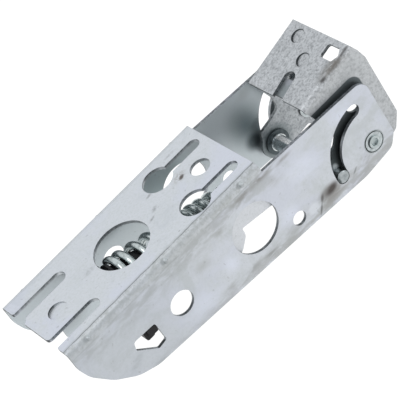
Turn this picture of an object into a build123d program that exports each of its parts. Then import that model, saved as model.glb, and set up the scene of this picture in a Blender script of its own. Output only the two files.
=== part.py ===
from build123d import *
import os
import math

# Counterbalanced lid hinge: a folded steel channel that is screwed to a cabinet, a lid bracket that
# turns on two rivets at its upper end, a cross pin that runs in curved slots of both side walls,
# and a heavy coil spring in the channel that pulls on that pin.
# Millimetres. +X runs along the channel towards the pivot, +Z out of the face plate, and the
# slotted front side wall is at -Y. The origin is on the face plate's outer face, halfway across,
# between the big hole and the keyholes.
# Everything below is drawn about the pivot axis, and moved to the origin when it is written.

os.makedirs("parts", exist_ok=True)

# ---------------------------------------------------------------- driving dimensions
T = 1.5                      # sheet thickness of every folded part
FACE_Z = 34.6                # face plate's outer face above the pivot axis
FACE_X0, FACE_X1 = -150.0, -46.0
Y_FRONT, Y_REAR = -24.8, 24.6   # outer faces of the two side walls
BEND_R = 2.7                 # outer bend radius of the channel
PIVOT_TO_ORIGIN = (84.5, 0.0, -FACE_Z)

ARC_R = 19.0                 # curved guide slot, about the pivot
ARC_HALF_W = 2.93
ARC_TOP, ARC_BOTTOM = 92.5, 185.5    # degrees from +X towards +Z, slot end centres
PIN_REST = 185.0             # where the follower pin sits at rest
TRAVEL = 92.0                # lid bracket's turn, degrees

PIN_R = 2.85
SLEEVE_R = 3.4
RIVET_HOLE_R = 5.0
SHANK_R = 3.5
FIT = 0.06                   # radial running clearance

LID_TILT = 12.95             # lid plate against the face plate, degrees
LID_Z = 38.92                # lid plate's outer face straight above the pivot
LID_FRONT = -21.5            # outer face of the lid bracket's side flange
LID_PLATE_REAR = 14.4
LEAF_REAR = 20.9             # outer face of the inner leaf's side flange
LEAF_BEND = 9.2

SPRING_ANGLE = 14.68         # spring axis against the face plate at rest, degrees
ANCHOR_D = 102.9             # anchor pin to follower pin, along the spring
COIL_R, WIRE_R = 8.3, 1.7    # mean coil radius, wire radius
COIL_D0, COIL_D1 = 97.0, 40.0    # coil ends, measured from the follower pin
COIL_PITCH = 6.4

P0 = (ARC_R * math.cos(math.radians(PIN_REST)), ARC_R * math.sin(math.radians(PIN_REST)))
E = (-math.cos(math.radians(SPRING_ANGLE)), math.sin(math.radians(SPRING_ANGLE)))
A = (P0[0] + ANCHOR_D * E[0], P0[1] + ANCHOR_D * E[1])       # anchor pin axis

# ---------------------------------------------------------------- helpers


def outline(pts):
    """Closed face from (x, y, radius) corners, each rounded by its radius."""
    n = len(pts)
    ends = []
    for i in range(n):
        x, y, r = pts[i]
        ax, ay = pts[i - 1][0] - x, pts[i - 1][1] - y
        bx, by = pts[(i + 1) % n][0] - x, pts[(i + 1) % n][1] - y
        la, lb = math.hypot(ax, ay), math.hypot(bx, by)
        ax, ay, bx, by = ax / la, ay / la, bx / lb, by / lb
        half = math.acos(max(-1.0, min(1.0, ax * bx + ay * by))) / 2
        if r <= 0 or abs(half - math.pi / 2) < 1e-4:
            ends.append(((x, y), None, (x, y)))
            continue
        d = r / math.tan(half)
        cx, cy = ax + bx, ay + by
        lc = math.hypot(cx, cy)
        k = r / math.sin(half)
        c = (x + cx / lc * k, y + cy / lc * k)
        m = (c[0] - cx / lc * r, c[1] - cy / lc * r)
        ends.append(((x + ax * d, y + ay * d), m, (x + bx * d, y + by * d)))
    edges = []
    for i in range(n):
        a, m, b = ends[i]
        if m is not None:
            edges.append(ThreePointArc(a, m, b))
        nxt = ends[(i + 1) % n][0]
        if math.hypot(nxt[0] - b[0], nxt[1] - b[1]) > 1e-5:
            edges.append(Line(b, nxt))
    return make_face(edges)


def along_y(face, y0, y1):
    """Face drawn in (x, z), made solid between y0 and y1."""
    return extrude(Plane.XZ.offset(-y1) * face, amount=y1 - y0)


def along_z(face, z0, z1):
    return extrude(Pos(0, 0, z0) * face, amount=z1 - z0)


def along_x(face, x0, x1):
    """Face drawn in (y, z), made solid between x0 and x1."""
    return extrude(Plane.YZ.offset(x0) * face, amount=x1 - x0)


def disc_y(x, z, r, y0, y1):
    return along_y(Pos(x, z) * Circle(r), y0, y1)


def disc_z(x, y, r, z0, z1):
    return along_z(Pos(x, y) * Circle(r), z0, z1)


def arc_slot(r, hw, a0, a1):
    def at(rad, deg):
        return (rad * math.cos(math.radians(deg)), rad * math.sin(math.radians(deg)))

    def cap(deg, side):
        c = at(r, deg)
        t = math.radians(deg + 90)
        return (c[0] + side * hw * math.cos(t), c[1] + side * hw * math.sin(t))
    mid = (a0 + a1) / 2
    return make_face([
        ThreePointArc(at(r + hw, a0), at(r + hw, mid), at(r + hw, a1)),
        ThreePointArc(at(r + hw, a1), cap(a1, 1), at(r - hw, a1)),
        ThreePointArc(at(r - hw, a1), at(r - hw, mid), at(r - hw, a0)),
        ThreePointArc(at(r - hw, a0), cap(a0, -1), at(r + hw, a0)),
    ])


def half_shear(r, depth):
    """Sunk button, deepest at +Y and running out at -Y, to be cut from a face at z = 0."""
    slope = math.degrees(math.atan2(depth, 2 * r))
    block = Pos(0, -r, -0.08) * Rot(-slope, 0, 0) * Pos(0, 2 * r, 2) * Box(4 * r, 8 * r, 4)
    return disc_z(0, 0, r, -depth - 0.2, 0.5) & block


def on_lid(shape):
    """From the lid plate's own frame (x along the plate, z out of it) to the pivot's frame."""
    return Pos(0, 0, LID_Z) * Rot(0, -LID_TILT, 0) * shape


def lid_xz(s, t):
    a = math.radians(LID_TILT)
    return (s * math.cos(a) - t * math.sin(a), LID_Z + s * math.sin(a) + t * math.cos(a))


def spring_frame(shape):
    """From a frame with its origin at the follower pin and +Z along the spring towards the anchor."""
    return Pos(P0[0], 0, P0[1]) * Rot(0, -(90 - SPRING_ANGLE), 0) * shape


def write(shape, name):
    solids = shape.solids()
    part = Pos(*PIVOT_TO_ORIGIN) * (solids[0] if len(solids) == 1 else Compound(children=list(solids)))
    part.label = name
    export_step(part, "parts/" + name + ".step")


# ---------------------------------------------------------------- housing: one folded sheet
pivot_end = [(FACE_X0, FACE_Z, 0), (FACE_X1, FACE_Z, 0), (FACE_X1, 30.4, 0),
             (9.65, 27.0, 5.5), (9.65, -3.5, 4.0), (5.5, -8.8, 4.5), (-10.0, -10.3, 14.0)]
far_curve = [(-141.6, 8.9, 14.0), (-148.2, 18.6, 14.0), (FACE_X0, 25.0, 10.0)]
side_front = outline(pivot_end + [(-124.0, -1.75, 14.0), (-132.8, 1.5, 14.0)] + far_curve)
side_rear = outline(pivot_end + [(-136.9, -0.9, 1.2), (-136.9, 4.95, 0.3)] + far_curve)
outer = outline([(Y_FRONT, -14, 0), (Y_FRONT, FACE_Z, BEND_R), (Y_REAR, FACE_Z, BEND_R), (Y_REAR, -14, 0)])
inner = outline([(Y_FRONT + T, -15, 0), (Y_FRONT + T, FACE_Z - T, BEND_R - T),
                 (Y_REAR - T, FACE_Z - T, BEND_R - T), (Y_REAR - T, -15, 0)])
channel = along_x(outer, -152, 12) - along_x(inner, -153, 13)
housing = channel & (along_y(side_front, -30, 0) + along_y(side_rear, 0, 30))

# face plate: two keyholes, two open screw slots, big hole, centre hole, half-sheared button
ZT = (FACE_Z - 4, FACE_Z + 1)
for ky in (11.7, -14.4):
    housing -= disc_z(-72.0, ky, 6.9, *ZT)
    housing -= disc_z(-51.9, ky, 2.95, *ZT)
    housing -= along_z(Pos(-62.0, ky) * Rectangle(20.2, 5.9), *ZT)
OPEN_R = 3.3
for sy, xe in ((11.9, -127.5), (-14.3, -128.4)):
    housing -= disc_z(xe, sy, OPEN_R, *ZT)
    housing -= along_z(Pos((xe - 152) / 2, sy) * Rectangle(152 + xe, 2 * OPEN_R), *ZT)
housing -= along_z(outline([(-152, 6.6, 0), (-149.2, 6.6, 0.8), (-147.2, 8.7, 0.8), (-147.2, 10, 0), (-152, 10, 0)]), *ZT)
for cx, cy, dx, dy, r in ((FACE_X0, -14.3 + OPEN_R, 1, 1, 1.8), (FACE_X0, 11.9 + OPEN_R, 1, 1, 1.2), (FACE_X0, -14.3 - OPEN_R, 1, -1, 0.8)):
    corner = Pos(cx + dx * r / 2, cy + dy * r / 2) * Rectangle(r, r) - Pos(cx + dx * r, cy + dy * r) * Circle(r)
    housing -= along_z(corner, *ZT)
housing -= disc_z(-102.4, -1.35, 12.5, *ZT)
housing -= disc_z(-58.4, -1.2, 4.5, *ZT)
BUTTON = (-138.0, -2.1)
housing -= Pos(*BUTTON, FACE_Z) * Rot(0, 0, 50) * half_shear(4.4, 0.85)
housing += Pos(BUTTON[0] - 0.9, BUTTON[1] + 0.8, FACE_Z - T - 0.2) * Cylinder(2.4, 0.5)

# side walls: both carry the same holes
for y0, y1 in ((Y_FRONT - 1, Y_FRONT + T + 1), (Y_REAR - T - 1, Y_REAR + 1)):
    housing -= disc_y(-102.2, 12.1, 5.5, y0, y1)
    housing -= disc_y(-60.8, 12.5, 11.2, y0, y1)
    housing -= disc_y(-43.6, -0.5, 3.2, y0, y1)
    housing -= disc_y(0, 0, RIVET_HOLE_R, y0, y1)
    housing -= along_y(arc_slot(ARC_R, ARC_HALF_W, ARC_TOP, ARC_BOTTOM), y0, y1)
    housing -= along_y(outline([(-126.8, 15.4, 1.2), (-115.8, 14.8, 1.0), (-115.6, 4.8, 1.0),
                                (-120.0, 4.1, 0.8), (-127.8, 11.5, 0.6)]), y0, y1)

# pressed step in the front wall below the guide slot: deepest at its rounded left end
step_area = outline([(-39.0, -12.0, 0), (-34.0, -6.5, 2.0), (-31.3, -1.2, 2.2), (-34.5, 3.4, 1.5),
                     (-30.0, 1.5, 1.0), (-20.0, -7.0, 2.0), (-16.0, -12.0, 0)])
ramp = along_z(outline([(-40, -26, 0), (-17.5, -26, 0), (-17.5, Y_FRONT - 0.02, 0), (-31.0, Y_FRONT + 0.8, 0),
                        (-40, Y_FRONT + 0.95, 0)]), -13, 5)
housing -= along_y(step_area, Y_FRONT - 1, Y_FRONT + 1) & ramp

# three small raised marks on each bend
NUB_UP = math.radians(20)
for nx in (-139.4, -97.6, -55.7):
    for yb, s in ((Y_FRONT + BEND_R, -1), (Y_REAR - BEND_R, 1)):
        housing += Pos(nx, yb + s * 1.85 * math.cos(NUB_UP), FACE_Z - BEND_R + 1.85 * math.sin(NUB_UP)) * Sphere(1.3)

write(housing, "housing")

# doubler: a short sheet inside the front wall, seen through the big side hole
doubler = along_y(outline([(-84, 29.5, 1), (-48.5, 29.5, 1), (-48.5, 13.2, 0.5), (-65.0, 15.8, 0.4),
                           (-65.2, 12.0, 4.0), (-70.5, 6.8, 4.0), (-84, 9.0, 3.0)]), Y_FRONT + T, Y_FRONT + T + 1.2)
write(doubler, "side_doubler")

# ---------------------------------------------------------------- spring anchor, held in the five-sided holes
anchor = along_y(outline([(-121.6, 9.0, 1.0), (-117.6, 9.0, 1.0), (-112.5, 28.5, 1.0), (-121.6, 28.5, 1.2)]), -22.9, -3.6)
anchor += along_y(outline([(-121.6, 20.0, 0.8), (-114.75, 20.0, 0.5), (-112.5, 28.5, 1.0), (-121.6, 28.5, 1.2)]), 3.6, 23.0)
anchor += along_y(outline([(-119.9, 14.5, 0.5), (-116.2, 14.5, 0.5), (-114.65, 20.4, 0), (-119.9, 20.4, 0)]), -8.0, 9.0)
anchor += along_y(outline([(-120.2, 10.8, 0.5), (-115.9, 10.8, 0.5), (-115.9, 14.6, 0.5), (-120.2, 14.6, 0.5)]), -24.5, -20.0)
anchor -= spring_frame(Pos(0, 0, 95.0) * Cylinder(8.6, 10.0))       # room for the plug's collar as it swings
anchor -= disc_y(A[0], A[1], 6.1, -3.6, 3.6)                         # room for the plug's tongue
anchor -= disc_y(A[0], A[1], 2.0, -30, 30)
write(anchor, "spring_anchor")
write(disc_y(A[0], A[1], 2.0, -11.0, 11.0), "anchor_pin")

# ---------------------------------------------------------------- spring with its two screwed-in plugs
coil_len = COIL_D0 - COIL_D1 - 2 * WIRE_R
helix = Helix(pitch=COIL_PITCH, height=coil_len, radius=COIL_R)
coil = sweep(Plane(origin=helix @ 0, z_dir=helix % 0) * Circle(WIRE_R), path=helix)
write(spring_frame(Pos(0, 0, COIL_D1 + WIRE_R) * coil), "main_spring")

plug_low = Pos(0, 0, 90.15) * Cylinder(6.3, 14.3)
plug_low += Pos(0, 0, 97.8) * Cylinder(8.0, 1.2)
plug_low += Pos(0, 0, 100.5) * Box(7.2, 6.2, 4.6) + Pos(0, 0, ANCHOR_D) * Rot(90, 0, 0) * Cylinder(3.6, 6.2)
plug_low -= Pos(0, 0, ANCHOR_D) * Rot(90, 0, 0) * Cylinder(2.0 + FIT, 20)
plug_low -= Pos(0, 0, 81) * Cylinder(3.4, 22)
write(spring_frame(plug_low), "spring_plug_lower")

plug_up = Pos(0, 0, 43.5) * Cylinder(6.3, 9.0)
plug_up += Pos(0, 0, 39.2) * Cylinder(9.2, 1.4)
plug_up -= Pos(0, 0, 43) * Cylinder(5.5, 14)
write(spring_frame(plug_up), "spring_plug_upper")

link = Pos(0, 0, 0) * Rot(90, 0, 0) * Cylinder(6.2, 3.2)
link += Pos(0, 0, 15.0) * Box(6.0, 3.2, 24.0)
link += Pos(0, 0, 40.0) * Cylinder(1.5, 28.0)
link -= Rot(90, 0, 0) * Cylinder(SLEEVE_R + FIT, 10)
write(spring_frame(link), "draw_link")

# ---------------------------------------------------------------- lid bracket: plate and front side flange
s0, s1 = -17.85, 13.4
tl, tr = lid_xz(s0, 0), lid_xz(s1, 0)
flange = outline([
    (tl[0], tl[1], 0), (tr[0], tr[1], 0), (15.3, 36.9, 3.0), (16.7, 31.5, 6.0), (16.55, -0.2, 3.5),
    (12.4, -6.5, 3.0), (4.3, -9.0, 6.0), (-18.9, -9.0, 0), (-18.9, -1.7, 0), (-24.2, 2.8, 0),
    (-21.5, 5.0, 2.0), (-17.9, 6.0, 0.8), (-16.4, 9.0, 1.2), (-14.0, 10.1, 1.5), (-11.3, 13.4, 2.5),
    (-14.7, 26.8, 4.0), (-15.6, 29.6, 3.0), (-16.9, 32.2, 3.0),
])
lobe = Pos(P0[0], P0[1]) * Circle(7.4)
flange = flange + lobe


def ell(y_flange, y_edge, bend, t0):
    """Section across a folded plate in (y, t): flange outer face, plate edge, outer bend radius."""
    s = 1 if y_edge > y_flange else -1
    o = outline([(y_flange, -60, 0), (y_flange, t0, bend), (y_edge, t0, 0), (y_edge, -60, 0)])
    i = outline([(y_flange + s * T, -61, 0), (y_flange + s * T, t0 - T, bend - T), (y_edge + s, t0 - T, 0), (y_edge + s, -61, 0)])
    return o - i


section = ell(LID_FRONT, LID_PLATE_REAR, 2.2, 0)
bracket = on_lid(along_x(section, -40, 30)) & along_y(flange, -30, 30)
plate_cuts = along_z(outline([(-30, -9.4, 0), (-8.8, -7.05, 0), (-8.8, -0.85, 0), (-30, -3.3, 0)]), -10, 2)
plate_cuts += disc_z(-8.8, -3.95, 3.1, -10, 2)
plate_cuts += along_z(outline([(4.5, -11.5, 1.2), (10.7, -11.5, 1.2), (10.7, -18.6, 1.0), (7.7, -20.2, 1.5), (4.5, -18.6, 1.0)]), -3.2, 2)
bracket -= on_lid(plate_cuts)
for cx, cy in ((8.1, 6.2), (0.3, -4.4)):
    bracket -= on_lid(Pos(cx, cy, 0) * Rot(0, 0, 65) * half_shear(3.1, 0.75))
FLANGE_HOLES = ((0, 0, SHANK_R + FIT), (2.3, 19.3, 4.0), (P0[0], P0[1], PIN_R + 0.01))
for x, z, r in FLANGE_HOLES:
    bracket -= disc_y(x, z, r, -30, -15)
write(bracket, "lid_bracket")

# inner leaf: beneath the lid plate, with its side flange at the rear
ls0, ls1 = -16.7, 8.8
lt0, lt1 = lid_xz(ls0, -T), lid_xz(ls1, -T)
leaf_side = outline([
    (lt0[0], lt0[1], 0), (lt1[0], lt1[1], 0), (10.4, 33.0, 3.0), (10.0, -1.0, 5.0), (5.6, -8.9, 4.0),
    (-1.2, -9.0, 0.5), (-3.3, -6.7, 1.4), (-9.9, -7.55, 1.2), (-11.6, -8.9, 0.6),
    (-18.9, -8.9, 0), (-18.9, -1.7, 0), (-24.2, 3.5, 0),
    (-22.9, 7.4, 1.2), (-16.2, 8.75, 6.0), (-10.9, 10.7, 2.6), (-10.6, 16.5, 4.0), (-15.4, 30.0, 3.0),
]) + lobe
leaf_section = ell(LEAF_REAR, -9.3, LEAF_BEND, -T)
leaf = on_lid(along_x(leaf_section, -40, 30)) & along_y(leaf_side, -30, 30)
leaf -= on_lid(disc_z(-6.6, -2.6, 2.3, -10, 2))
for x, z, r in FLANGE_HOLES:
    leaf -= disc_y(x, z, r, 17, 30)
write(leaf, "lid_leaf")

# ---------------------------------------------------------------- follower pin and what is on it
pin = disc_y(P0[0], P0[1], PIN_R, -25.2, 25.0)
pin = chamfer(pin.edges().filter_by(GeomType.CIRCLE), 0.45)
write(pin, "follower_pin")


def ring(x, z, ri, ro, y0, y1):
    return disc_y(x, z, ro, y0, y1) - disc_y(x, z, ri, y0 - 1, y1 + 1)


write(ring(P0[0], P0[1], PIN_R + 0.04, SLEEVE_R, LID_FRONT + T + 0.8, 17.9), "pin_sleeve")
write(ring(P0[0], P0[1], PIN_R + 0.04, 5.6, LID_FRONT + T, LID_FRONT + T + 0.8), "pin_washer_front")
write(ring(P0[0], P0[1], PIN_R + 0.04, 5.6, 18.6, LEAF_REAR - T), "pin_washer_rear")
write(ring(P0[0], P0[1], PIN_R + 0.04, 3.8, 17.9, 18.6), "pin_ring")

# ---------------------------------------------------------------- pivot rivets and washers
front = disc_y(0, 0, RIVET_HOLE_R - 0.05, Y_FRONT - 0.05, Y_FRONT + T)
front += disc_y(0, 0, SHANK_R, Y_FRONT + T, LID_FRONT + T + 0.1)
front += disc_y(0, 0, 5.4, LID_FRONT + T + 0.1, LID_FRONT + T + 1.3)
front += disc_y(0, 0, 2.7, Y_FRONT - 0.65, Y_FRONT)
front -= disc_y(0, 0, 1.7, Y_FRONT - 2, Y_FRONT + 0.3)
front -= ring(0, 0, 4.25, 4.7, Y_FRONT - 1, Y_FRONT + 0.5)
write(front, "pivot_rivet_front")
write(ring(0, 0, SHANK_R + 0.05, 6.4, Y_FRONT + T, LID_FRONT - 0.1), "pivot_washer_front")

rear = disc_y(0, 0, RIVET_HOLE_R - 0.05, Y_REAR - T, Y_REAR + 0.05)
rear += disc_y(0, 0, SHANK_R, LEAF_REAR - T - 0.1, Y_REAR - T)
rear += disc_y(0, 0, 4.3, LEAF_REAR - T - 0.8, LEAF_REAR - T - 0.1)
rear += disc_y(0, 0, 2.7, Y_REAR, Y_REAR + 0.65)
rear -= disc_y(0, 0, 1.7, Y_REAR - 0.3, Y_REAR + 2)
rear -= ring(0, 0, 4.25, 4.7, Y_REAR - 0.5, Y_REAR + 1)
write(rear, "pivot_rivet_rear")
write(ring(0, 0, SHANK_R + 0.05, 6.4, LEAF_REAR + 0.1, Y_REAR - T), "pivot_washer_rear")
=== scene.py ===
import bpy
import bmesh
import math
from mathutils import Vector, Matrix


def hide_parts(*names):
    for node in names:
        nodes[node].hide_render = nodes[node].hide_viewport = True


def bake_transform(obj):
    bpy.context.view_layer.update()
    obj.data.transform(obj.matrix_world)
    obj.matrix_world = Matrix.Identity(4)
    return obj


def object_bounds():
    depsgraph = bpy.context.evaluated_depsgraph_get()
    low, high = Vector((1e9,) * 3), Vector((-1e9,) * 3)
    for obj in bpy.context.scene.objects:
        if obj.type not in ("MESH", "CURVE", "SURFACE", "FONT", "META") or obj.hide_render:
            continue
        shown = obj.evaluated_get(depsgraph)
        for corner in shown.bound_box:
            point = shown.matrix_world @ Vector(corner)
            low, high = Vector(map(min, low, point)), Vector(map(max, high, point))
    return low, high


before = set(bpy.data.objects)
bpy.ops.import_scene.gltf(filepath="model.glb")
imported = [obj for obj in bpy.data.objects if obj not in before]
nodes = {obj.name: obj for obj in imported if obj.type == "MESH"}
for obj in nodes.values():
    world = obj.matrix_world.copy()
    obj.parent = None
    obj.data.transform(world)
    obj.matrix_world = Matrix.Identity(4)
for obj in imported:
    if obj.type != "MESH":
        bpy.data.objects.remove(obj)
cad_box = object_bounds()
scene = bpy.context.scene

# The hinge was drawn about its pivot axis: P() turns pivot millimetres into the frame's metres.
PIVOT = Vector((0.0845, 0.0, -0.0346))


def P(x, y, z):
    return Vector((x / 1000, y / 1000, z / 1000)) + PIVOT


# ---------------------------------------------------------------- camera, floor and light
cam_data = bpy.data.cameras.new("camera")
cam = bpy.data.objects.new("camera", cam_data)
scene.collection.objects.link(cam)
right = Vector((0.6907, -0.5685, -0.4469)).normalized()
back = Vector((-0.2109, -0.7495, 0.6275)).normalized()
up = back.cross(right).normalized()
right = up.cross(back).normalized()
rot = Matrix((right, up, back)).transposed()
cam.matrix_world = Matrix.Translation(P(-263.406, -702.343, 609.657)) @ rot.to_4x4()
cam_data.sensor_width = 36.0
cam_data.lens = 214.13
cam_data.clip_start = 0.01
cam_data.clip_end = 20.0
scene.camera = cam
scene.view_settings.view_transform = "Standard"


def tree(name):
    m = bpy.data.materials.new(name)
    m.use_nodes = True
    t = m.node_tree
    bsdf = next(n for n in t.nodes if n.type == "BSDF_PRINCIPLED")
    return m, t, bsdf


def node(t, kind, **values):
    n = t.nodes.new(kind)
    for k, v in values.items():
        if k in n.inputs:
            n.inputs[k].default_value = v
        else:
            setattr(n, k, v)
    return n


floor_z = cad_box[0].z - 0.0001
bm = bmesh.new()
for cx, cy in ((-4, -4), (4, -4), (4, 4), (-4, 4)):
    bm.verts.new((cx, cy, floor_z))
bm.faces.new(bm.verts)
floor_mesh = bpy.data.meshes.new("floor")
bm.to_mesh(floor_mesh)
bm.free()
floor = bpy.data.objects.new("floor", floor_mesh)
scene.collection.objects.link(floor)
m, t, bsdf = tree("floor_white")
bsdf.inputs["Base Color"].default_value = (0.08, 0.08, 0.08, 1)
bsdf.inputs["Roughness"].default_value = 0.9
bsdf.inputs["Specular IOR Level"].default_value = 0.0
bsdf.inputs["Emission Color"].default_value = (1, 1, 1, 1)
bsdf.inputs["Emission Strength"].default_value = 1.02
floor_mesh.materials.append(m)

world = bpy.data.worlds.new("studio")
scene.world = world
world.use_nodes = True
bg = next(n for n in world.node_tree.nodes if n.type == "BACKGROUND")
bg.inputs["Color"].default_value = (0.97, 0.985, 1.0, 1)
bg.inputs["Strength"].default_value = 0.97


def area(name, at, target, size, power, color=(1, 1, 1)):
    data = bpy.data.lights.new(name, "AREA")
    data.shape = "RECTANGLE"
    data.size, data.size_y = size
    data.energy = power
    data.color = color
    o = bpy.data.objects.new(name, data)
    scene.collection.objects.link(o)
    o.location = at
    d = Vector(target) - Vector(at)
    o.rotation_euler = d.to_track_quat("-Z", "Y").to_euler()
    return o


area("key", (-0.35, -0.15, 0.95), (0, 0, 0), (0.35, 0.35), 1.6)
area("side", (0.75, -0.55, 0.25), (0.03, 0, -0.02), (0.3, 0.3), 0.6)

# ---------------------------------------------------------------- materials


class Mat:
    """A Principled material built up from layers that are laid out in the object's own coordinates."""

    def __init__(self, name, color, metallic, rough):
        self.m, self.t, self.bsdf = tree(name)
        self.bsdf.inputs["Metallic"].default_value = metallic
        coords = self.t.nodes.new("ShaderNodeTexCoord")
        self.coord, self.normal = coords.outputs["Object"], coords.outputs["Normal"]
        self.axes = []
        for v in (self.coord, self.normal):
            split = self.t.nodes.new("ShaderNodeSeparateXYZ")
            self.link(v, split.inputs[0])
            self.axes.append(split.outputs)
        rgb = self.t.nodes.new("ShaderNodeRGB")
        rgb.outputs[0].default_value = (*color, 1)
        self.color = rgb.outputs[0]
        v = self.t.nodes.new("ShaderNodeValue")
        v.outputs[0].default_value = rough
        self.rough = v.outputs[0]
        self.height = None

    def link(self, a, b):
        self.t.links.new(a, b)

    def math(self, op, a, b=None, clamp=False):
        n = self.t.nodes.new("ShaderNodeMath")
        n.operation = op
        n.use_clamp = clamp
        for i, v in enumerate((a, b)):
            if v is None:
                continue
            if isinstance(v, (int, float)):
                n.inputs[i].default_value = v
            else:
                self.link(v, n.inputs[i])
        return n.outputs[0]

    def noise(self, scale, detail=3.0, rough=0.55, distortion=0.0, stretch=(1, 1, 1), offset=(0, 0, 0)):
        mp = self.t.nodes.new("ShaderNodeMapping")
        mp.inputs["Scale"].default_value = stretch
        mp.inputs["Location"].default_value = offset
        self.link(self.coord, mp.inputs["Vector"])
        n = node(self.t, "ShaderNodeTexNoise", Scale=scale, Detail=detail, Roughness=rough, Distortion=distortion)
        self.link(mp.outputs[0], n.inputs["Vector"])
        return n.outputs["Fac"]

    def cells(self, scale, offset=(0, 0, 0)):
        mp = self.t.nodes.new("ShaderNodeMapping")
        mp.inputs["Location"].default_value = offset
        self.link(self.coord, mp.inputs["Vector"])
        n = node(self.t, "ShaderNodeTexVoronoi", Scale=scale)
        self.link(mp.outputs[0], n.inputs["Vector"])
        sep = self.t.nodes.new("ShaderNodeSeparateColor")
        self.link(n.outputs["Color"], sep.inputs[0])
        return sep.outputs[0]

    def remap(self, v, a, b, lo=0.0, hi=1.0):
        n = node(self.t, "ShaderNodeMapRange")
        n.interpolation_type = "SMOOTHSTEP"
        n.inputs["From Min"].default_value = a
        n.inputs["From Max"].default_value = b
        n.inputs["To Min"].default_value = lo
        n.inputs["To Max"].default_value = hi
        self.link(v, n.inputs["Value"])
        return n.outputs["Result"]

    def along(self, direction, about=None):
        """Distance along a direction, in metres from a point, or the surface's own direction along it."""
        n = self.t.nodes.new("ShaderNodeVectorMath")
        n.operation = "DOT_PRODUCT"
        self.link(self.normal if about is None else self.coord, n.inputs[0])
        n.inputs[1].default_value = direction
        out = n.outputs["Value"]
        return out if about is None else self.math("SUBTRACT", out, Vector(direction).dot(about))

    def square(self, v):
        return self.math("MULTIPLY", v, v)

    def both(self, *vs):
        out = vs[0]
        for v in vs[1:]:
            out = self.math("MULTIPLY", out, v)
        return out

    def most(self, *vs):
        out = vs[0]
        for v in vs[1:]:
            out = self.math("MAXIMUM", out, v)
        return out

    def less(self, v, limit, soft=0.0001):
        return self.remap(v, limit + soft, limit - soft)

    def more(self, v, limit, soft=0.0001):
        return self.remap(v, limit - soft, limit + soft)

    def band(self, v, middle, half, soft=0.0002):
        return self.both(self.more(v, middle - half, soft), self.less(v, middle + half, soft))

    def streak(self, at, to, half, off, depth=1.5):
        """A soft line in an XZ plane, from one (x, z) to another."""
        mid = [(a + b) / 2 for a, b in zip(at, to)]
        span = math.dist(at, to) / 2
        turn = -math.degrees(math.atan2(to[1] - at[1], to[0] - at[0]))
        return self.blob(P(mid[0], off, mid[1]), (span, depth, half), 0.2, (0, turn, 0))

    def blob(self, at, radii, inner=0.3, turn=(0, 0, 0)):
        """1 inside an ellipsoid about a point, fading to 0 at its surface."""
        mp = self.t.nodes.new("ShaderNodeMapping")
        mp.vector_type = "TEXTURE"
        mp.inputs["Location"].default_value = at
        mp.inputs["Rotation"].default_value = [math.radians(a) for a in turn]
        mp.inputs["Scale"].default_value = [r / 1000 for r in radii]
        self.link(self.coord, mp.inputs["Vector"])
        n = self.t.nodes.new("ShaderNodeVectorMath")
        n.operation = "LENGTH"
        self.link(mp.outputs[0], n.inputs[0])
        return self.remap(n.outputs["Value"], 1.0, inner)

    def tint(self, fac, color, amount=1.0):
        if amount != 1.0:
            fac = self.math("MULTIPLY", fac, amount)
        n = self.t.nodes.new("ShaderNodeMix")
        n.data_type = "RGBA"
        self.link(fac, n.inputs["Factor"])
        self.link(self.color, n.inputs["A"])
        n.inputs["B"].default_value = (*color, 1)
        self.color = next(o for o in n.outputs if o.type == "RGBA")

    def roughen(self, fac, amount):
        self.rough = self.math("ADD", self.rough, self.math("MULTIPLY", fac, amount), clamp=True)

    def bump(self, fac, amount):
        v = self.math("MULTIPLY", fac, amount)
        self.height = v if self.height is None else self.math("ADD", self.height, v)

    def done(self, edge=0.0, bump_distance=0.0001, strength=1.0):
        self.link(self.color, self.bsdf.inputs["Base Color"])
        self.link(self.rough, self.bsdf.inputs["Roughness"])
        normal = None
        if edge:
            b = node(self.t, "ShaderNodeBevel")
            b.samples = 4
            b.inputs["Radius"].default_value = edge
            normal = b.outputs[0]
        if self.height is not None:
            b = node(self.t, "ShaderNodeBump", Strength=strength, Distance=bump_distance)
            self.link(self.height, b.inputs["Height"])
            if normal is not None:
                self.link(normal, b.inputs["Normal"])
            normal = b.outputs[0]
        if normal is not None:
            self.link(normal, self.bsdf.inputs["Normal"])
        return self.m


def assign(name, material):
    o = nodes[name]
    o.data.materials.clear()
    o.data.materials.append(material)


def S(r, g, b):
    """Linear colour from the 0-255 value that it should show."""
    return tuple(((v / 255 + 0.055) / 1.055) ** 2.4 for v in (r, g, b))


def zinc(name, color, rough, mottle, dark, speck=0.5):
    z = Mat(name, color, 0.85, rough)
    z.fine = z.noise(1900, 2)
    z.grain = z.noise(950, 3, 0.62)
    z.mid = z.noise(380, 4, 0.6, 0.4)
    big = z.noise(60, 3, 0.6)
    z.tint(z.remap(z.grain, 0.42, 0.70), dark, mottle)
    z.tint(z.remap(z.mid, 0.42, 0.72), dark, mottle * 0.55)
    z.tint(z.remap(big, 0.50, 0.75), dark, mottle * 0.6)
    z.tint(z.remap(z.fine, 0.66, 0.76), [v * 0.55 for v in dark], speck)
    z.roughen(z.grain, 0.12)
    z.bump(z.grain, 0.35)
    z.bump(z.fine, 0.15)
    return z


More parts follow.
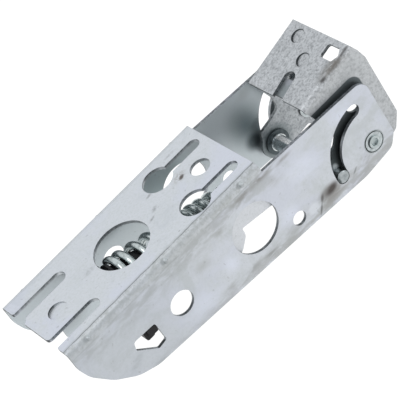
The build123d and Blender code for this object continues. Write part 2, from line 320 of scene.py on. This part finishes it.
# ---- housing
h = zinc("zinc_housing", (0.635, 0.662, 0.70), 0.36, 0.32, (0.49, 0.53, 0.52), 0.35)
(hx, hy, hz), (nx, ny, nz) = h.axes
below = h.less(hz, -0.0031, 0.0002)
above = h.more(hz, -0.0031, 0.0002)
in_plate = h.both(h.more(hy, -0.0215), h.less(hy, 0.0215))
outside = h.both(h.more(hz, -0.0031), h.less(hy, -0.0212), h.more(hz, -0.0050))
Y0 = -24.8
side = h.less(hy, -0.0238, 0.0004)
rear_side = h.more(hy, 0.0245, 0.0003)
sides = h.most(side, rear_side)
face = h.more(hz, -0.0006)
cloud = h.noise(34, 4, 0.62, 0.5, (1, 1, 1), (0.3, 0, 0.1))
cloud2 = h.noise(75, 4, 0.65, 0.8, (1, 1, 1), (0.9, 0, 0.4))
streaky = h.noise(300, 3, 0.6, 0.3, (0.35, 1, 1), (0, 0, 0.7))
# lilac bloom and greyer clouds of the plating
h.tint(h.remap(cloud, 0.45, 0.62), S(207, 211, 224), 0.55)
h.tint(h.both(sides, h.remap(cloud2, 0.48, 0.66)), S(186, 191, 191), 0.55)
h.tint(h.both(face, h.remap(cloud2, 0.54, 0.70)), S(190, 196, 202), 0.40)
# painted shade: both flanges are tinted a little darker than the face
h.tint(sides, S(150, 155, 162), 0.24)
for x, z, rx, rz, turn in ((-31.0, 17.0, 13.0, 8.5, 25), (-47.0, 4.5, 7.5, 7.0, 0), (-96.0, 4.0, 15.0, 8.0, 5), (-6.0, 22.0, 9.0, 7.0, 0), (-77.0, 8.0, 6.0, 7.0, 0)):
    h.tint(h.both(side, h.blob(P(x, Y0, z), (rx, 2, rz), 0.0, (0, turn, 0)), h.remap(cloud, 0.30, 0.55, 0.35, 1.0)), S(214, 219, 232), 0.55)
# a worn grey-brown zone under the bend and along the lower edge
under = h.both(sides, h.more(hz, -0.0110, 0.0055))
h.tint(h.both(under, h.remap(streaky, 0.36, 0.62), h.less(hx, P(-38, 0, 0).x, 0.008)), S(152, 155, 153), 0.62)
low = h.both(sides, h.less(hz, P(0, 0, -1.5).z, 0.0045))
h.tint(h.both(low, h.remap(streaky, 0.38, 0.62)), S(150, 151, 148), 0.55)
for x, z, rx, rz, turn, c, k in (
        (-61.0, -2.6, 6.0, 2.6, 4, (128, 129, 126), 0.55), (-70.5, -1.6, 7.5, 2.4, 5, (140, 142, 140), 0.55),
        (-81.0, -0.4, 6.0, 2.2, 5, (150, 152, 150), 0.45), (-67.5, 18.0, 1.6, 5.2, -8, (120, 124, 123), 0.60),
        (-65.2, 21.6, 3.4, 1.4, 40, (136, 140, 138), 0.50), (-56.0, 22.6, 4.6, 1.5, -10, (140, 142, 140), 0.45),
        (-58.0, 28.6, 9.0, 2.6, 0, (126, 124, 119), 0.60), (-47.5, 28.9, 7.0, 2.4, 0, (120, 117, 112), 0.62),
        (-73.0, 24.0, 6.5, 3.0, 12, (148, 150, 147), 0.50), (-87.0, 18.0, 7.0, 3.6, 8, (158, 160, 158), 0.45),
        (-131.0, 6.5, 7.5, 3.2, -35, (140, 146, 147), 0.50), (-122.5, -1.2, 5.5, 2.4, 10, (150, 155, 156), 0.45),
        (-112.0, 27.0, 8.0, 2.4, 0, (158, 162, 161), 0.40), (-10.0, -7.5, 8.5, 2.0, 0, (160, 163, 162), 0.40),
        (-44.5, 22.5, 4.0, 3.0, 20, (160, 161, 160), 0.35), (-36.0, 27.5, 6.5, 1.4, 0, (132, 130, 127), 0.60)):
    spot = h.blob(P(x, Y0, z), (rx, 2, rz), 0.05, (0, turn, 0))
    h.tint(h.both(side, spot, h.remap(streaky, 0.34, 0.56, 0.25, 1.0)), S(*c), k)
# the bend: a brighter strip and a soft mottled band, partly the plating's own mottle and partly painted shade of the
# curved bend, and a thin line of painted shade where it meets the flat
bend = h.both(h.most(h.less(hy, -0.0219, 0.0004), h.more(hy, 0.0222, 0.0004)), h.more(hz, -0.0040, 0.0012))
h.tint(bend, S(188, 192, 194), 0.60)
h.tint(h.both(bend, h.remap(h.mid, 0.44, 0.66)), S(158, 162, 160), 0.42)
h.tint(h.both(bend, h.remap(h.grain, 0.46, 0.66)), S(150, 153, 151), 0.35)
ragged = h.math("ADD", hy, h.math("MULTIPLY", h.math("SUBTRACT", h.noise(140, 3), 0.5), 0.0012))
line = h.both(h.band(ragged, -0.02205, 0.00020, 0.00020), h.more(hz, -0.0008), h.remap(h.noise(90, 3), 0.30, 0.52, 0.35, 1.0))
h.tint(line, S(98, 103, 103), 0.85)
h.tint(h.both(h.band(ragged, -0.0214, 0.0003, 0.0005), face), S(168, 174, 175), 0.45)
# painted shade: a thin dark line along the side where the bend meets the flange
low_z = h.math("ADD", hz, h.math("MULTIPLY", h.math("SUBTRACT", h.noise(150, 3), 0.5), 0.0016))
h.tint(h.both(side, h.band(low_z, -0.0040, 0.00018, 0.0004), h.remap(h.noise(80, 2), 0.38, 0.56, 0.15, 1.0)), S(120, 124, 122), 0.50)
# painted shade: a faint line where the rear bend meets the face
rear_line = h.both(h.band(hy, 0.0216, 0.00010, 0.00015), h.more(hz, -0.0008))
h.tint(rear_line, S(130, 137, 138), 0.35)
# raised marks on the bend: painted shade as a dark outline on their lower left and a painted highlight on their tops
for x in (-139.4, -97.6, -55.7):
    at = P(x, -24.0, 33.2)
    h.tint(h.blob(at + Vector((-0.0007, 0, -0.0002)), (2.2, 1.8, 1.6), 0.5), S(120, 125, 125), 0.60)
    h.tint(h.blob(at + Vector((0.0002, -0.0001, 0.0002)), (1.4, 1.4, 0.9), 0.4), S(205, 212, 214), 0.55)
# the far flange's inner face, greener, with painted shade: darker patches at the left end and near the top, a dark
# gradient towards the pivot with a paler patch above it, and a painted shadow of the leaf's lobe
far_in = h.both(h.more(hy, 0.0216, 0.0004), h.less(ny, -0.35, 0.2))
h.tint(far_in, S(188, 197, 200), 0.80)
h.tint(h.both(far_in, h.blob(P(-66.0, 23.3, 24.0), (17, 9, 14), 0.3)), S(184, 198, 201), 0.80)
h.tint(h.both(far_in, h.blob(P(-131.0, 23.3, 8.0), (13, 9, 10), 0.2)), S(150, 156, 158), 0.6)
h.tint(h.both(far_in, h.blob(P(-97.0, 23.3, 24.5), (14, 9, 5), 0.2)), S(150, 159, 161), 0.60)
h.tint(h.both(far_in, h.blob(P(-25.0, 23.3, 13.0), (13, 9, 16), 0.0)), S(98, 114, 118), 0.78)
h.tint(h.both(far_in, h.blob(P(-26.0, 23.3, 3.9), (6.0, 9, 6.0), 0.25)), S(58, 70, 74), 0.82)
h.tint(h.both(far_in, h.blob(P(-19.0, 23.3, 25.5), (5, 9, 4), 0.2)), S(176, 182, 184), 0.7)
# painted shade on the inner side of the front flange and on the downward faces of the face plate
front_in = h.both(h.less(hy, -0.0216, 0.0004), h.more(ny, 0.35, 0.2))
h.tint(front_in, S(120, 130, 131), 0.6)
h.tint(h.less(nz, -0.4, 0.2), S(120, 130, 131), 0.5)
# the pressed ramp on the front flange, left of the slot's lower end: partly a rubbed brown stain, partly painted
# shade of the ramp and its step edge, with a painted highlight on the paler tongue at its left
h.tint(h.both(side, h.blob(P(-25.5, Y0, -4.2), (11.5, 2, 4.4), 0.1, (0, -8, 0)), h.remap(streaky, 0.30, 0.60, 0.45, 1.0)), S(136, 134, 131), 0.75)
h.tint(h.both(side, h.blob(P(-27.6, Y0, -1.0), (7.0, 2, 3.4), 0.2, (0, -6, 0))), S(116, 113, 110), 0.80)
h.tint(h.both(side, h.blob(P(-25.6, Y0, -1.6), (4.8, 2, 2.6), 0.25, (0, -14, 0))), S(78, 73, 71), 0.92)
h.tint(h.both(side, h.streak((-29.8, 0.6), (-32.6, -3.8), 1.1, Y0)), S(92, 90, 88), 0.80)
h.tint(h.both(side, h.streak((-31.6, -2.2), (-36.2, -8.6), 0.75, Y0)), S(96, 97, 96), 0.75)
h.tint(h.both(side, h.blob(P(-36.6, Y0, -2.2), (3.4, 2, 3.6), 0.4, (0, 60, 0))), S(205, 209, 215), 0.85)
h.tint(h.both(side, h.streak((-15.4, -5.2), (-11.2, -2.2), 0.7, Y0)), S(116, 120, 120), 0.65)
h.tint(h.both(side, h.less(hx, P(-96, 0, 0).x, 0.030)), S(166, 172, 178), 0.36)
# a brown stain, smudges and scattered specks on the face
h.tint(h.both(face, h.blob(P(-66.4, 3.4, 34.6), (5.0, 3.6, 2.5), 0.1, (0, 0, 30)), h.remap(h.grain, 0.35, 0.60)), S(158, 156, 153), 0.65)
h.tint(h.both(face, h.blob(P(-65.9, 2.4, 34.6), (2.1, 1.2, 2.0), 0.35, (0, 0, 25))), S(84, 76, 71), 0.88)
for x, y, rx, ry, turn, k in ((-82.9, 0.3, 2.6, 1.5, 30, 0.5), (-86.9, -3.1, 3.2, 0.9, 20, 0.55), (-79.5, 8.4, 2.4, 1.0, 10, 0.6),
                              (-85.1, -19.8, 0.7, 0.5, 0, 0.8), (-70.0, -12.5, 6.0, 0.9, 8, 0.4), (-104.0, -10.5, 6.0, 2.6, -15, 0.3),
                              (-52.0, -14.0, 3.5, 3.0, 0, 0.4), (-60.5, 17.6, 5.0, 1.0, 0, 0.3), (-118.0, 1.5, 5.0, 2.2, 10, 0.22)):
    h.tint(h.both(face, h.blob(P(x, y, 34.6), (rx, ry, 2.0), 0.1, (0, 0, turn)), h.remap(h.grain, 0.32, 0.55, 0.3, 1.0)), S(116, 118, 119), k)
h.tint(h.remap(h.noise(520, 1, 0.5, 0.0, (1, 1, 1), (3, 1, 2)), 0.71, 0.75), S(126, 126, 124), 0.24)
# sheared edges: darkest at the outer rim, fading inwards
rough_edge = h.remap(h.noise(900, 3, 0.6, 0.0, (1, 1, 0.25)), 0.30, 0.70, 0.55, 1.0)
plate_edge = h.both(above, in_plate, h.most(h.square(nx), h.square(ny)), h.remap(hz, -0.00150, -0.00025, 0.40, 0.92))
side_edge = h.both(below, h.most(h.square(nx), h.square(nz)))
end_edge = h.both(above, h.math("SUBTRACT", 1.0, in_plate), h.square(nx))
h.tint(h.both(plate_edge, rough_edge), S(84, 92, 93))
h.tint(h.both(side_edge, rough_edge), S(64, 70, 72), 0.93)
h.tint(h.both(end_edge, rough_edge), S(104, 113, 113), 0.85)
# the plate's end, and painted shade on the sunk wall of the round half-sheared mark
h.tint(h.both(above, h.less(nx, -0.5, 0.2), h.less(hx, P(-148.0, 0, 0).x)), S(54, 59, 60), 0.85)
button = h.blob(P(-138.0, -2.1, 34.2), (5.2, 5.2, 3.0), 0.9)
lower = h.math("ADD", h.math("MULTIPLY", nx, -0.77), h.math("MULTIPLY", ny, 0.63))
h.tint(h.both(button, h.most(h.remap(lower, 0.25, 0.7), h.remap(lower, -0.25, -0.7)), h.remap(h.along(Vector((-0.77, 0.63, 0)), P(-138.0, -2.1, 34.6)), 0.0, 0.0030)), S(50, 54, 55), 0.85)
assign("housing", h.done(edge=0.00015, bump_distance=0.00005))

d = zinc("zinc_doubler", (0.60, 0.62, 0.65), 0.38, 0.3, (0.45, 0.48, 0.48))
d.tint(d.both(d.most(d.square(d.axes[1][0]), d.square(d.axes[1][2])), d.remap(d.grain, 0.3, 0.7, 0.6, 1.0)), S(78, 85, 87), 0.85)
assign("side_doubler", d.done(edge=0.00015, bump_distance=0.00005))

# ---- lid bracket and leaf: s runs along the lid plate, t out of it
TILT = math.radians(12.95)
S_AX = Vector((math.cos(TILT), 0, math.sin(TILT)))
T_AX = Vector((-math.sin(TILT), 0, math.cos(TILT)))
TOP = P(0, 0, 38.92)


def L(s, y, t):
    return TOP + S_AX * (s / 1000) + T_AX * (t / 1000) + Vector((0, y / 1000, 0))


def edges(z, below_t, front_y, rear_y=0.030):
    """Sheared edges of a sheet that is folded down from the lid plane at one side."""
    s_n, t_n = z.along(S_AX), z.along(T_AX)
    t_at = z.along(T_AX, TOP)
    y_n = z.axes[1][1]
    plate = z.both(z.more(t_at, below_t / 1000), z.more(z.axes[0][1], front_y / 1000), z.less(z.axes[0][1], rear_y))
    return z.most(z.square(s_n), z.both(z.less(t_at, below_t / 1000), z.square(t_n)), z.both(plate, z.square(y_n)))


b = zinc("zinc_lid", S(193, 196, 199), 0.40, 0.75, S(136, 139, 142), 0.75)
b.tint(b.remap(b.noise(1150, 2, 0.5, 0, (1, 1, 1), (2, 5, 1)), 0.60, 0.74), S(214, 217, 220), 0.5)
(bx, by, bz) = b.axes[0]
bs, bt = b.along(S_AX, TOP), b.along(T_AX, TOP)
flange = b.less(by, -0.0203, 0.0003)
b.tint(b.both(flange, b.less(bt, -0.0022, 0.0004)), S(174, 177, 178), 0.40)
# shaded band of the side flange next to the housing, with a rounded corner
cx, cz = P(4.9, 0, 24.85).x, P(4.9, 0, 24.85).z
ox = b.math("MAXIMUM", b.math("SUBTRACT", bx, cx), 0.0)
oz = b.math("MAXIMUM", b.math("SUBTRACT", bz, cz), 0.0)
corner = b.math("SQRT", b.math("ADD", b.square(ox), b.square(oz)))
shade = b.both(flange, b.less(corner, 0.0050, 0.00025))
b.tint(shade, S(80, 88, 91), 0.93)
# deeper painted shade where the housing's arc slot shows the flange
b.tint(b.both(shade, b.blob(P(-14.5, -21.5, 9.5), (9, 3, 13), 0.4)), S(58, 64, 65), 0.85)
b.tint(b.both(shade, b.blob(P(-8.0, -21.5, 17.5), (5, 3, 4), 0.2)), S(78, 82, 84), 0.8)
# painted highlight on the flange beside the follower pin
b.tint(b.both(flange, b.blob(P(-18.4, -21.5, 1.9), (1.9, 3, 2.6), 0.3)), S(204, 211, 214), 0.9)
# worn crease on the fold, spreading onto the plate
lines = b.noise(260, 4, 0.65, 0.5, (0.45, 1.6, 1.0), (0.2, 0, 0))
b.tint(b.both(b.blob(L(2.0, -20.0, 0), (13, 4.2, 4.5), 0.05), b.remap(lines, 0.34, 0.58)), S(120, 118, 114), 0.75)
b.tint(b.both(b.blob(L(2.5, -20.7, 0), (9.5, 1.7, 2.0), 0.2), b.remap(lines, 0.30, 0.52, 0.5, 1.0)), S(104, 100, 95), 0.80)
b.tint(b.both(b.blob(L(-3.4, -20.6, -0.2), (2.8, 1.2, 1.6), 0.2)), S(70, 69, 68), 0.88)
b.tint(b.blob(L(7.8, -20.9, 0), (7.0, 0.75, 1.0), 0.2, (0, 0, 4)), S(84, 84, 84), 0.80)
b.tint(b.both(b.blob(L(11.6, -20.7, -0.3), (2.6, 0.9, 1.2), 0.2)), S(92, 92, 92), 0.75)
b.tint(b.both(b.blob(L(-10.5, -21.0, -0.6), (4.5, 1.0, 1.6), 0.2), b.remap(lines, 0.30, 0.50)), S(118, 120, 120), 0.6)
# pressed rims of the clinch marks: painted shade on their far side, a painted highlight on their near side, and a
# dark centre
for cs, cyy in ((8.1, 6.2), (0.3, -4.4)):
    off_s = b.math("SUBTRACT", bs, cs / 1000)
    off_y = b.math("SUBTRACT", by, cyy / 1000)
    away = b.math("SQRT", b.math("ADD", b.square(off_s), b.square(off_y)))
    toward = b.math("ADD", b.math("MULTIPLY", off_s, 0.10), b.math("MULTIPLY", off_y, 0.99))
    top_side = b.more(bt, -0.0012, 0.0003)
    b.tint(b.both(top_side, b.band(away, 0.00310, 0.00022, 0.00018), b.remap(toward, -0.0022, 0.0006, 0.25, 1.0), b.remap(lines, 0.24, 0.44, 0.5, 1.0)), S(66, 70, 73), 0.92)
    b.tint(b.both(top_side, b.band(away, 0.00262, 0.00018, 0.00018), b.remap(toward, 0.0010, -0.0018)), S(206, 210, 213), 0.5)
    b.tint(b.blob(L(cs + 0.2, cyy - 0.2, 0), (0.7, 0.5, 1.2), 0.3), S(98, 102, 104), 0.7)
# painted shade on the underside of the lid plate
b.tint(b.less(b.along(T_AX), -0.4, 0.2), S(120, 128, 129), 0.5)
b.tint(b.both(edges(b, -2.4, -19.3), b.remap(b.grain, 0.30, 0.70, 0.55, 1.0)), S(72, 78, 80), 0.93)
assign("lid_bracket", b.done(edge=0.00015, bump_distance=0.00008))

f = zinc("zinc_leaf", S(184, 188, 191), 0.40, 0.75, S(128, 132, 135), 0.8)
f.tint(f.remap(f.noise(1150, 2, 0.5, 0, (1, 1, 1), (2, 5, 1)), 0.58, 0.72), S(200, 203, 207), 0.5)
f.tint(f.both(f.more(f.axes[0][1], 0.0100, 0.0004), f.blob(P(-19.5, 16, -1.0), (10.5, 20, 10.5), 0.55)), S(112, 122, 124), 0.80)
f.tint(f.both(f.more(f.axes[0][1], 0.0100, 0.0004), f.blob(P(-19.5, 16, -1.0), (6.8, 20, 6.8), 0.75)), S(86, 95, 98), 0.5)
# painted shadow of the lid plate's end on the leaf below it
fs = f.math("ADD", f.along(S_AX, TOP), f.math("MULTIPLY", f.math("SUBTRACT", f.noise(160, 3), 0.5), 0.0008))
f.tint(f.both(f.band(fs, -0.0181, 0.00035, 0.0002), f.more(f.along(T_AX, TOP), -0.0040, 0.0004)), S(64, 69, 71), 0.85)
# what the lid plate's slot shows of the leaf, as painted light and shade: a grey shaded patch, a paler patch and a
# dark patch at the slot's end
f.tint(f.blob(L(-13.5, -4.0, -1.6), (5.5, 5.2, 3), 0.5), S(136, 144, 147), 0.85)
f.tint(f.blob(L(-9.6, -3.6, -1.6), (2.6, 2.6, 3), 0.4), S(156, 160, 167), 0.85)
f.tint(f.blob(L(-7.6, -5.0, -1.6), (1.5, 2.2, 3), 0.4, (0, 0, 25)), S(58, 62, 66), 0.9)
f.tint(f.both(edges(f, -10.9, -8.9), f.remap(f.grain, 0.30, 0.70, 0.55, 1.0)), S(72, 78, 80), 0.93)
assign("lid_leaf", f.done(edge=0.00015, bump_distance=0.00008))


# ---- pins, washers and rivets
def steel(name, color, dark, rough=0.22, mottle=0.55):
    z = Mat(name, color, 1.0, rough)
    z.grain = z.noise(650, 3, 0.6)
    z.tint(z.remap(z.noise(300, 3), 0.42, 0.68), dark, mottle)
    z.tint(z.remap(z.grain, 0.50, 0.72), dark, mottle * 0.7)
    z.roughen(z.grain, 0.14)
    z.bump(z.grain, 0.2)
    return z


PX, PZ = 19 * math.cos(math.radians(185)), 19 * math.sin(math.radians(185))
pin = steel("pin_steel", S(168, 174, 176), S(104, 113, 116), 0.26)
# painted shade along the left edge of the follower pin's end
pin.tint(pin.both(pin.less(pin.axes[0][1], -0.0245, 0.0003), pin.blob(P(PX - 2.6, -25.2, PZ), (1.2, 2, 3.2), 0.3)), S(66, 72, 74), 0.9)
pin_m = pin.done(edge=0.0002, bump_distance=0.00005)
for n in ("follower_pin", "anchor_pin"):
    assign(n, pin_m)
sleeve = steel("sleeve_steel", S(150, 160, 164), S(98, 108, 112), 0.20, 0.4)
sleeve.bsdf.inputs["Metallic"].default_value = 0.6
# painted highlight: a white streak along the top of the sleeve
sleeve.tint(sleeve.remap(sleeve.along(Vector((0.24, 0, 0.97))), 0.88, 0.97), (1.0, 1.0, 1.0), 0.9)
assign("pin_sleeve", sleeve.done(edge=0.0002, bump_distance=0.00004))
# the pin ring is coloured near white as a painted highlight at the sleeve's end
ring = steel("ring_steel", S(222, 227, 228), S(150, 158, 160), 0.2, 0.3)
assign("pin_ring", ring.done(edge=0.0001, bump_distance=0.00004))


def washer(name):
    z = Mat(name, S(84, 92, 95), 0.9, 0.40)
    z.tint(z.remap(z.noise(500, 3), 0.4, 0.7), S(52, 60, 63), 0.6)
    return z


wash = washer("dull_washer")
# the dull washer, shared by the rear pin washer, the pivot washers and the draw link
wash_m = wash.done(edge=0.00015)
for n in ("pin_washer_rear", "pivot_washer_front", "pivot_washer_rear", "draw_link"):
    assign(n, wash_m)
front_wash = washer("pin_washer_highlight")
# painted highlight: one side of the front pin washer is paler, so that the ring reads as open
front_wash.tint(front_wash.blob(P(PX + 4.6, -20, PZ - 1.6), (2.6, 9, 3.0), 0.3), S(168, 176, 178), 0.85)
assign("pin_washer_front", front_wash.done(edge=0.0001))

r = Mat("rivet_zinc", S(190, 197, 199), 0.9, 0.30)
r.grain = r.noise(700, 3, 0.6)
r.tint(r.remap(r.grain, 0.42, 0.70), S(150, 159, 160), 0.6)
r.tint(r.remap(r.noise(1500, 2), 0.60, 0.72), S(112, 119, 120), 0.5)
radial = r.math("SQRT", r.math("ADD", r.square(r.math("SUBTRACT", r.axes[0][0], P(0, 0, 0).x)), r.square(r.math("SUBTRACT", r.axes[0][2], P(0, 0, 0).z))))
# painted shade in the groove round the rivet head, darkest at the upper left and faint at the lower right
at_groove = r.band(radial, 0.00448, 0.00026, 0.00012)
up_left = r.along(Vector((-0.80, 0, 0.60)), P(0, 0, 0))
r.tint(r.both(at_groove, r.remap(up_left, -0.0030, 0.0018, 0.30, 1.0)), S(58, 63, 65), 0.95)
hub = r.less(radial, 0.0030, 0.0002)
r.tint(hub, S(172, 182, 182), 0.75)
r.tint(r.both(hub, r.remap(r.noise(420, 2, 0.5, 0.6), 0.55, 0.68)), S(206, 213, 214), 0.7)
# painted shade along the hub's left edge
r.tint(r.both(r.band(radial, 0.00285, 0.00022, 0.00014), r.remap(r.along(Vector((-0.95, 0, 0.30)), P(0, 0, 0)), 0.0, 0.0022)), S(62, 68, 70), 0.9)
for a, w in ((25, 0.5), (150, 0.5), (275, 0.5)):
    c, sn = math.cos(math.radians(a)), math.sin(math.radians(a))
    r.tint(r.blob(P(1.6 * c, 0, 1.6 * sn), (0.9, 60, 0.34), 0.3, (0, -a, 0)), S(96, 104, 105), 0.7)
r.roughen(r.grain, 0.14)
r.bump(r.grain, 0.25)
rivet_m = r.done(edge=0.0002, bump_distance=0.00006)
for n in ("pivot_rivet_front", "pivot_rivet_rear"):
    assign(n, rivet_m)

black = Mat("black_coat", (0.007, 0.007, 0.008), 0.0, 0.48)
black.bsdf.inputs["Specular IOR Level"].default_value = 0.25
black.tint(black.remap(black.noise(400, 3), 0.5, 0.8), (0.022, 0.023, 0.025), 0.6)
black_m = black.done(edge=0.0002)
for n in ("spring_anchor", "spring_plug_lower", "spring_plug_upper"):
    assign(n, black_m)

# ---------------------------------------------------------------- the coil, with the photo's uneven pitch
P0 = (19 * math.cos(math.radians(185)), 19 * math.sin(math.radians(185)))
ANG = math.radians(14.68)
spring_dir = Vector((-math.cos(ANG), 0, math.sin(ANG)))     # follower pin towards the anchor
pin_at = P(P0[0], 0, P0[1])
COIL_R, WIRE_R = 8.3, 1.7
HAND = -1


def coil_mesh(name, tops, d0, d1, hand, seg=18, per_turn=64):
    """Wire swept on a helix that passes its top at the given distances along the axis."""
    e1 = Vector((0, 1, 0))
    e2 = spring_dir.cross(e1).normalized()
    if e2.z < 0:
        e2 = -e2
    up_v, side_v = e2, e1
    ds = [d0] + tops + [d1]
    # turn count at each distance: tops are whole numbers
    turns = []
    n = len(tops)
    for i, d in enumerate(tops):
        turns.append((d, float(i)))
    first_pitch = tops[0] - tops[1]
    last_pitch = tops[-2] - tops[-1]
    turns = [(d0, -(d0 - tops[0]) / max(first_pitch, 3.6))] + turns + [(d1, (n - 1) + (tops[-1] - d1) / max(last_pitch, 3.6))]
    total = turns[-1][1] - turns[0][1]
    steps = int(total * per_turn)
    pts = []
    for k in range(steps + 1):
        a = turns[0][1] + total * k / steps
        for (da, ta), (db, tb) in zip(turns, turns[1:]):
            if a <= tb + 1e-9:
                f = (a - ta) / (tb - ta)
                d = da + (db - da) * f
                break
        w = 2 * math.pi * a * hand
        pts.append(pin_at + spring_dir * (d / 1000) + (up_v * math.cos(w) + side_v * math.sin(w)) * (COIL_R / 1000))
    bm = bmesh.new()
    rings = []
    for i, p in enumerate(pts):
        tangent = (pts[min(i + 1, len(pts) - 1)] - pts[max(i - 1, 0)]).normalized()
        c = pin_at + spring_dir * (p - pin_at).dot(spring_dir)
        out = (p - c).normalized()
        out = (out - tangent * out.dot(tangent)).normalized()
        other = tangent.cross(out)
        rings.append([bm.verts.new(p + (out * math.cos(2 * math.pi * j / seg) + other * math.sin(2 * math.pi * j / seg)) * (WIRE_R / 1000)) for j in range(seg)])
    for a, b in zip(rings, rings[1:]):
        for j in range(seg):
            bm.faces.new((a[j], a[(j + 1) % seg], b[(j + 1) % seg], b[j]))
    bm.faces.new(rings[0])
    bm.faces.new(list(reversed(rings[-1])))
    bmesh.ops.recalc_face_normals(bm, faces=bm.faces)
    me = bpy.data.meshes.new(name)
    bm.to_mesh(me)
    bm.free()
    for f in me.polygons:
        f.use_smooth = len(f.vertices) == 4
    o = bpy.data.objects.new(name, me)
    scene.collection.objects.link(o)
    return o


coil = coil_mesh("spring_coil", [94.6, 90.2, 83.2, 76.2, 70.3, 64.4, 58.9, 54.6, 50.2, 45.3], 95.2, 41.7, HAND)
wire = steel("spring_steel", S(200, 208, 208), S(104, 113, 112), 0.18, 0.5)
wire.tint(wire.remap(wire.noise(1400, 2), 0.60, 0.72), S(70, 77, 77), 0.35)
coil.data.materials.append(wire.done(bump_distance=0.00005))
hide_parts("main_spring")
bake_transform(coil)
